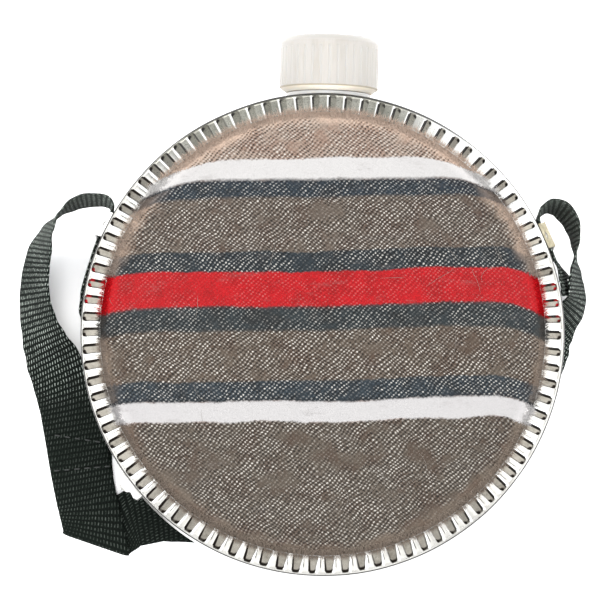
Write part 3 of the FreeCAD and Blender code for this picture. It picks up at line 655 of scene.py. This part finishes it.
def tin_material():
    """Worn tinplate, with painted shade in its flutes, painted highlights on its lands and a painted
    darker top.
    """
    s = Shader("rim_tinplate")
    recess, painted_shade, painted_glint = s.read("recess"), s.read("painted_shade"), s.read("painted_glint")
    place = s.place()
    x, y, _ = s.split(place)
    blot = s.noise(place, 90.0, 4.0, 0.6)
    fine = s.noise(place, 900.0, 3.0, 0.6)
    bright = s.mix(s.band(blot, 0.35, 0.75), (228, 226, 220), (208, 205, 198))
    dull = s.mix(s.band(s.plus(blot, s.mul(fine, 0.3)), 0.5, 0.95), (158, 153, 143), (116, 111, 101))
    colour = s.mix(recess, bright, dull)
    # the band's top is painted a mottled darker grey and less metallic, standing in for the dim
    # reflection it gives; its upper right is painted as a bright glare
    shaded_top = s.mix(s.band(s.plus(blot, s.mul(fine, 0.4)), 0.5, 0.9), (196, 194, 180), (150, 149, 136))
    shaded_top = s.mix(recess, shaded_top, s.mix(0.3, shaded_top, (120, 114, 98)))
    shaded_top = s.mix(s.band(fine, 0.54, 0.66, 0.0, 0.45), shaded_top, (92, 90, 80))
    patchy = s.plus(y, s.mul(s.plus(blot, -0.5), 0.03))
    # this mask is the painted darker top, weaker at its right
    worn = s.mul(s.band(patchy, 0.060, 0.086, 0.0, 0.9), s.band(x, 0.034, 0.058, 1.0, 0.35))
    colour = s.mix(worn, colour, shaded_top)
    painted_glare = s.mul(s.band(x, 0.026, 0.052), s.band(y, 0.030, 0.048))
    painted_glint = s.math("MAXIMUM", painted_glint, s.mul(s.mul(painted_glare, 0.62), s.minus(1.0, recess)))
    # the recesses in the glare are painted paler too
    colour = s.mix(s.mul(painted_glare, s.mul(recess, 0.55)), colour, (206, 197, 182))
    colour = s.mix(painted_glint, colour, (0.66, 0.66, 0.64, 1))
    # the painted shade is dark brown, reddened where lint of the red stripe sits beside it
    radius = s.length(x, y)
    lint = s.mul(s.band(y, 0.006, 0.012), s.band(y, 0.028, 0.022))
    lint = s.mul(lint, s.mul(s.band(radius, 0.0975, 0.0988), s.band(radius, 0.1009, 0.1006)))
    shading = s.mix(lint, (30, 25, 20), (150, 12, 22))
    colour = s.mix(s.band(painted_shade, 0.12, 0.62), colour, shading)
    normal = s.bump(s.plus(fine, s.mul(blot, 0.7)), 0.12, 0.0003)
    metal = s.mul(s.minus(0.95, s.mul(worn, 0.55)), s.minus(1.0, s.mul(painted_glint, 0.8)))
    return s.finish({"Base Color": colour, "Metallic": metal, "Roughness": s.grained(fine, 0.24, 0.38),
                     "Normal": normal})


# ------------------------------------------------------------------ shoulder strap

# The webbing's middle line in mm: x, y, z and how far its width leans from upright (90 is flat).
LEFT_ROUTE = [
    (-100.6, -60.0, 1.0, -90), (-101.5, -47.0, 1.0, -90), (-99.5, -36.0, 1.0, -90),
    (-94.0, -24.0, 1.8, -86), (-89.4, -14.0, 4.2, -76), (-88.8, -6.0, 7.2, -60),
    (-92.4, 0.5, 10.8, -42), (-97.0, 4.8, 12.5, -27),
    (-100.2, 9.0, 16.5, -13), (-102.0, 15.0, 24.0, -2),
    (-100.9, 22.0, 32.0, 0), (-98.1, 30.5, 40.5, 0), (-95.0, 39.2, 46.6, 0),
    (-92.7, 44.2, 46.9, 0), (-90.3, 49.2, 46.9, 0), (-90.2, 53.0, 46.6, 3),
    (-92.6, 55.2, 45.8, 6), (-97.0, 55.8, 44.2, 7), (-101.9, 55.6, 42.0, 8),
    (-107.0, 54.0, 38.8, 6), (-112.6, 50.3, 34.3, -2), (-117.9, 44.0, 28.0, -14),
    (-121.3, 35.0, 20.0, -26), (-123.1, 24.5, 14.0, -29), (-123.0, 14.5, 12.0, -32),
    (-121.0, 4.5, 11.0, -38), (-118.2, -3.5, 10.4, -49), (-114.6, -11.0, 8.0, -64),
    (-108.6, -25.0, 4.8, -82), (-105.4, -38.0, 3.1, -90), (-102.2, -54.0, 2.9, -90),
    (-98.6, -70.0, 2.6, -90),
]
UNDER_ROUTE = [(-77.8, -75.8), (-66.7, -73.4), (-55.0, -73.5), (-44.0, -73.5)]
RIGHT_ROUTE = [
    (36.0, -73.5, 7.25, -90), (48.0, -71.0, 7.25, -90), (60.0, -60.5, 5.4, -90),
    (71.0, -43.0, 2.0, -90), (79.5, -26.0, 0.9, -90), (86.5, -14.0, 1.6, -86),
    (91.6, -5.0, 3.8, -76), (95.4, 2.2, 6.8, -62), (99.6, 8.8, 10.1, -44),
    (105.4, 15.0, 12.6, -26), (108.0, 20.5, 17.0, -20), (107.6, 26.0, 23.0, -17),
    (107.0, 31.5, 28.5, -12), (106.5, 37.5, 33.5, -3), (106.1, 44.5, 38.5, 6),
    (104.2, 51.2, 42.5, 12), (100.5, 55.9, 44.8, 14), (96.0, 57.8, 46.2, 10),
    (92.0, 56.4, 46.8, 4), (89.9, 53.2, 46.9, 0), (90.3, 49.2, 46.9, 0),
    (92.7, 44.2, 46.9, 0), (95.0, 39.2, 46.6, 0), (99.0, 33.6, 38.5, 5),
    (102.6, 28.0, 28.5, 13), (105.0, 22.3, 20.5, 18),
]
FOLD_LINE = -17.5              # heading of the diagonal fold, degrees
FOLD_MIDDLE = (-94.2, -87.4)
LAYER_COUNT = 5                # layers of the stack under the rim
LAYER_STEP = 1.55
STACK_ENDS = (-40.0, 42.0)
STACK_LINE = -73.5
STRAP_WIDTH = 26.0
STRAP_THICK = 1.5
RIB_PITCH = 2.3                # mm between the webbing's cross ribs
WARP_PITCH = 2.5               # mm between its lengthwise ribs
TICK_PITCH = 1.35              # mm between the pale ticks along a rib


def unit(vector):
    return vector / np.linalg.norm(vector)


def section(middle, travel, lean):
    """The webbing's place, half width and normal, kept above the floor."""
    right = unit(np.cross(travel, UP))
    tilt = math.radians(lean)
    across = UP * math.cos(tilt) + right * math.sin(tilt)
    lowest = (STRAP_WIDTH * across[2] + STRAP_THICK * abs(math.sin(tilt))) / 2
    middle = np.array([middle[0], middle[1], max(middle[2], lowest)])
    return middle, across * STRAP_WIDTH / 2, unit(np.cross(travel, across))


def natural_spline(points):
    """Returns a function of the chord parameter: place and tangent on a smooth curve through points."""
    points = np.array(points, float)
    knots = np.concatenate([[0], np.cumsum(np.linalg.norm(np.diff(points[:, :3], axis=0), axis=1))])
    gap = np.diff(knots)
    count = len(points)
    matrix, right = np.zeros((count, count)), np.zeros((count, points.shape[1]))
    matrix[0, 0] = matrix[-1, -1] = 1
    for k in range(1, count - 1):
        matrix[k, k - 1:k + 2] = gap[k - 1], 2 * (gap[k - 1] + gap[k]), gap[k]
        right[k] = 6 * ((points[k + 1] - points[k]) / gap[k] - (points[k] - points[k - 1]) / gap[k - 1])
    bend = np.linalg.solve(matrix, right)

    def at(k, share):
        h = gap[k]
        a, b = 1 - share, share
        place = a * points[k] + b * points[k + 1]
        place = place + ((a ** 3 - a) * bend[k] + (b ** 3 - b) * bend[k + 1]) * h * h / 6
        slope = (points[k + 1] - points[k]) / h
        slope = slope + (-(3 * a * a - 1) * bend[k] + (3 * b * b - 1) * bend[k + 1]) * h / 6
        return place, slope

    return at


def follow(route, steps=10):
    """Sections along a route."""
    at = natural_spline([stop[:3] for stop in route])
    frames = []
    for k in range(len(route) - 1):
        last = k == len(route) - 2
        for j in range(steps + (1 if last else 0)):
            share = j / steps
            place, slope = at(k, share)
            lean = route[k][3] + (route[k + 1][3] - route[k][3]) * (share * share * (3 - 2 * share))
            frames.append(section(place, unit(slope), lean))
    return frames


def turn_back(middle, travel, across, rise, steps=10):
    """Sections round a half turn from one layer to the next."""
    frames = []
    for j in range(steps + 1):
        turned = math.pi * j / steps
        ahead = travel * (abs(rise) / 2 * math.sin(turned))
        lift = UP * (rise / 2 * (1 - math.cos(turned)))
        heading = travel * math.cos(turned) + UP * (math.copysign(1, rise) * math.sin(turned))
        frames.append((middle + ahead + lift, across, unit(np.cross(heading, across))))
    return frames


def strap_frames():
    """Sections of the whole strap: left bracket, diagonal fold, stack under the rim, right bracket."""
    frames = follow(LEFT_ROUTE)
    travel = np.array([*np.subtract(LEFT_ROUTE[-1][:2], LEFT_ROUTE[-2][:2]), 0.0])
    line = np.array([math.cos(math.radians(FOLD_LINE)), math.sin(math.radians(FOLD_LINE)), 0.0])
    slant = abs(np.cross(unit(travel), line)[2])
    side = 1 if line @ frames[-1][1] > 0 else -1
    fold = line * (side * STRAP_WIDTH / 2 / slant)
    square = np.array([line[1], -line[0], 0.0])
    middle = np.array([*FOLD_MIDDLE, LEFT_ROUTE[-1][2]])
    frames += turn_back(middle, square, fold, -LAYER_STEP)
    low = middle[2] - LAYER_STEP
    points = [np.array([x, y, low]) for x, y in UNDER_ROUTE]
    for k, point in enumerate(points):
        after, before = points[min(k + 1, len(points) - 1)], points[max(k - 1, 0)]
        frames.append(section(point, unit(after - before), 90))
    heading = np.array([1.0, 0.0, 0.0])
    across = frames[-1][1]
    for layer in range(LAYER_COUNT - 1):
        end = STACK_ENDS[1] if heading[0] > 0 else STACK_ENDS[0]
        corner = np.array([end, STACK_LINE, low + layer * LAYER_STEP])
        frames += turn_back(corner, heading, across, LAYER_STEP)
        heading = -heading
    return frames + follow(RIGHT_ROUTE)


def spread(frames, gap):
    """Resamples the frames at an even spacing."""
    middle, across, normal = (np.array(part) for part in zip(*frames))
    length = np.concatenate([[0], np.cumsum(np.linalg.norm(np.diff(middle, axis=0), axis=1))])
    keep = np.concatenate([[True], np.diff(length) > 1e-6])
    length, middle, across, normal = length[keep], middle[keep], across[keep], normal[keep]
    count = int(length[-1] / gap)
    at = np.linspace(0, length[-1], count)
    pick = [np.stack([np.interp(at, length, field[:, axis]) for axis in range(3)], -1)
            for field in (middle, across, normal)]
    pick[2] /= np.linalg.norm(pick[2], axis=1)[:, None]
    return at, *pick


def make_strap():
    frames = strap_frames()
    at, middle, across, normal = spread(frames, 0.55)
    count = len(at)
    half = 34
    wide = 0.94 * math.pi / 2                  # places across are closer together near the edges
    u = np.sin(np.linspace(-1, 1, half) * wide) / math.sin(wide)
    ribs = np.cos(at[:, None] / RIB_PITCH * math.tau)
    knots = np.cos(u[None] * STRAP_WIDTH / 2 / WARP_PITCH * math.tau)
    thick = STRAP_THICK / 2 * (1 - 0.75 * np.abs(u[None]) ** 16)
    relief = 0.06 * ribs * (0.6 + 0.4 * knots) * (1 - np.abs(u[None]) ** 10)
    edge = 0.994 + 0.006 * smooth_noise(at, at * 0, 4.0, 14)
    line = middle[:, None] + across[:, None] * (u[None, :, None] * edge[:, None, None])
    sheets = [line + normal[:, None] * (side * (thick - 0.07 + relief))[..., None] for side in (1, -1)]
    ring = np.concatenate([sheets[0], sheets[1][:, ::-1]], 1)
    ring[..., 2] = np.maximum(ring[..., 2], 0.0)
    columns = ring.shape[1]
    faces = grid_faces(count, columns, wrap_columns=True)
    ends = []
    for row, order in ((0, 1), (count - 1, -1)):
        base = row * columns
        for j in range(half - 1):
            quad = [base + j, base + j + 1, base + columns - 2 - j, base + columns - 1 - j]
            ends.append(quad[::order])
    thing = piece("shoulder_strap_webbing", ring * MM, np.concatenate([faces, np.array(ends)]))
    fill_fans(thing, [])
    both = np.concatenate([u, u[::-1]])
    attribute(thing, "along", np.repeat(at, columns))
    attribute(thing, "across", np.tile(both * STRAP_WIDTH / 2, count))
    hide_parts("shoulder_strap")
    paint(thing, webbing_material())
    return frames


def webbing_material():
    """Dark ribbed webbing whose weave shows as rows of pale ticks."""
    s = Shader("strap_webbing")
    along, across = s.read("along"), s.read("across")
    flat = s.node("CombineXYZ", {"X": along, "Y": across})
    waver = s.mul(s.drift(flat, 0.4, 2.0), 0.9)
    rows = s.math("COSINE", s.mul(s.plus(along, waver), math.tau / RIB_PITCH))
    slant = s.plus(across, s.plus(s.mul(along, 0.30), waver))
    columns = s.math("COSINE", s.mul(slant, math.tau / TICK_PITCH))
    worn = s.noise(flat, 0.06, 3.0)
    cell = s.noise(flat, 0.8, 3.0, 0.7)
    _, y, _ = s.split(s.place())
    rubbed = s.band(y, -0.034, -0.012, 0.14, 1.0)
    dots = s.mul(s.band(rows, -0.5, 0.3), s.band(columns, 0.4, 0.9))
    dots = s.mul(dots, s.band(cell, 0.34, 0.62, 0.1, 1.0))
    dots = s.mul(s.mul(dots, s.band(worn, 0.3, 0.7, 0.45, 1.0)), rubbed)
    fibre = s.noise(flat, 2.2, 4.0, 0.75)
    ground = s.mix(s.band(fibre, 0.3, 0.7), (4, 8, 6), (27, 38, 30))
    handled = s.band(y, 0.030, 0.046)           # the loops at the brackets are rubbed paler all over
    ground = s.mix(s.mul(handled, 0.4), ground, (96, 102, 96))
    shut = s.mul(s.band(rows, -0.2, -0.9, 0.0, 0.5), s.minus(1.0, s.mul(handled, 0.7)))
    groove = s.mix(shut, ground, (7, 12, 9))
    colour = s.mix(s.mul(dots, 0.85), groove, (0.38, 0.42, 0.38, 1))
    height = s.plus(s.mul(rows, 0.5), s.plus(s.mul(columns, 0.5), s.mul(fibre, 0.5)))
    normal = s.bump(height, 0.5, 0.0003)
    return s.finish({"Base Color": colour, "Roughness": 0.8, "Specular IOR Level": 0.06,
                     "Normal": normal})


THREAD_COUNT = 6               # stitches in a row
THREAD_LENGTH = 1.3            # half, in mm
THREAD_RADIUS = 0.34


def make_stitches(name, node, frames, rows, main_side, light, dark):
    """Short round threads on the faces of the seam; rows picks the strap's sections they cross."""
    points, faces = [], []
    sides, rings = 8, 7
    for row in rows:
        middle, across, normal = frames[row]
        inward = normal * main_side
        along = unit(np.cross(across, normal))
        for k in range(THREAD_COUNT):
            share = (2 * k + 1) / THREAD_COUNT - 1
            for depth in (-0.85, STRAP_THICK * 1.5 + 0.75):
                start = middle + across * share + inward * depth
                base = len(points)
                for ring in range(rings):
                    t = ring / (rings - 1) * 2 - 1
                    swell = math.sqrt(max(1 - t ** 4, 0.02)) * THREAD_RADIUS
                    for j in range(sides):
                        turn = math.tau * j / sides
                        flat = along * math.cos(turn) + inward * (0.6 * math.sin(turn))
                        points.append(start + unit(across) * (t * THREAD_LENGTH) + flat * swell)
                for ring in range(rings - 1):
                    for j in range(sides):
                        a = base + ring * sides + j
                        b = base + ring * sides + (j + 1) % sides
                        faces.append((a, b, b + sides, a + sides))
                for ring, order in ((0, -1), (rings - 1, 1)):
                    at = base + ring * sides
                    for j in range(1, sides - 2, 2):
                        faces.append((at, at + j, at + j + 1, at + j + 2)[::order])
    points = np.array(points)
    points[:, 2] = np.maximum(points[:, 2], 0.0)
    thing = piece(name, points * MM, faces)
    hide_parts(node)
    s = Shader(name + "_thread")
    twist = s.node("TexWave", {"Vector": s.place(), "Scale": 900.0, "Distortion": 2.0})
    colour = s.mix(twist, dark, light)
    normal = s.bump(twist, 0.4, 0.2 * MM)
    paint(thing, s.finish({"Base Color": colour, "Roughness": 0.7, "Normal": normal}))


# ------------------------------------------------------------------ plastic and small metal

def plastic_material(name, light, dark, rough=0.42, seam=None, ribbed=None):
    """seam is where on the neck's axis the cap's chamfer starts, with a painted shade line along it and
    painted light on the chamfer below; ribbed the radius of a ribbed piece.
    """
    s = Shader(name)
    place = s.place()
    x, y, z = s.split(place)
    streak = s.noise(s.vector("MULTIPLY", place, (1.0, 0.12, 1.0)), 620.0, 3.0, 0.6)
    cloud = s.noise(place, 45.0, 3.0)
    grain = s.noise(place, 2200.0, 2.0)
    colour = s.mix(s.band(streak, 0.3, 0.75), light, dark)
    colour = s.mix(s.band(cloud, 0.35, 0.75), colour, light)
    if ribbed:
        # the grooves between the ribs are painted paler, to lighten the shade in them
        inward = s.minus(ribbed, s.length(x, s.plus(z, -MID)))
        colour = s.mix(s.band(inward, 0.02 * MM, 0.22 * MM), colour, (216, 212, 205))
    if seam:
        # the chamfer below the seam is painted lighter, to offset the shade it faces down into; a
        # painted shade line runs along the seam
        off = s.math("ABSOLUTE", s.plus(y, -seam))
        colour = s.mix(s.band(y, seam, seam - 0.2 * MM), colour, (0.72, 0.66, 0.56, 1))
        colour = s.mix(s.band(off, 0.45 * MM, 0.15 * MM, 0.0, 0.8), colour, (170, 154, 124))
    shine = s.grained(grain, rough - 0.06, rough + 0.08)
    normal = s.bump(s.plus(grain, s.mul(streak, 2.0)), 0.10, 0.0002)
    return s.finish({"Base Color": colour, "Roughness": shine, "Normal": normal,
                     "Subsurface Weight": 0.3, "Subsurface Scale": 1.0,
                     "Subsurface Radius": (0.004, 0.003, 0.002)})


def steel_material(name, light, dark, rough):
    s = Shader(name)
    place = s.place()
    blot = s.noise(place, 260.0, 4.0, 0.6)
    scratch = s.noise(s.vector("MULTIPLY", place, (1, 1, 0.08)), 1800.0, 2.0)
    colour = s.mix(s.band(blot, 0.35, 0.7), light, dark)
    shine = s.grained(scratch, rough - 0.07, rough + 0.1)
    normal = s.bump(s.plus(scratch, blot), 0.15, 0.0002)
    return s.finish({"Base Color": colour, "Metallic": 1.0, "Roughness": shine, "Normal": normal})


CAP_RADIUS = 20.8 * MM
CAP_CHAMFER = 105.2 * MM       # place on the neck's axis where the cap's chamfer starts


def paint_nodes():
    shell = plastic_material("flask_plastic", (228, 224, 216), (214, 209, 198))
    white = plastic_material("cap_plastic", (209, 204, 197), (200, 194, 184), seam=CAP_CHAMFER,
                             ribbed=CAP_RADIUS)
    collar = plastic_material("collar_plastic", (238, 236, 232), (228, 225, 218))
    liner = plastic_material("seal_foam", (214, 211, 202), (196, 192, 182), 0.7)
    bright = steel_material("fitting_steel", (250, 249, 246), (226, 224, 218), 0.28)
    # the right loop is a darker, tan copy of the bright steel, painted in shade
    shaded_steel = steel_material("loop_steel", (196, 188, 164), (150, 142, 118), 0.36)
    rivet = steel_material("rivet_steel", (226, 224, 218), (190, 187, 180), 0.3)
    looks = {
        "flask": shell, "flask_neck": shell, "neck_collar": collar, "cap": white, "cap_seal": liner,
        "band_joint_clip": bright, "band_joint_rivets": rivet, "strap_loop_left": bright,
        "strap_loop_right": shaded_steel, "loop_rivets_left": rivet, "loop_rivets_right": rivet,
    }
    for node, look in looks.items():
        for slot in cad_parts[node].material_slots:
            slot.material = look


make_camera()
make_stage()
front = make_blanket("front_blanket_cloth", "front_blanket", 1)
paint(front, cloth_material("front_cloth"))
make_pile()
make_hairs()
rear = make_blanket("rear_blanket_cloth", "rear_blanket", -1)
paint(rear, cloth_material("rear_cloth"))
make_rim()
strap = make_strap()
make_stitches("seam_left", "strap_stitching_left", strap, (3, 13), 1, (44, 50, 45), (26, 30, 27))
make_stitches("seam_right", "strap_stitching_right", strap, (-4, -11), -1, (226, 228, 222),
              (186, 188, 182))
paint_nodes()
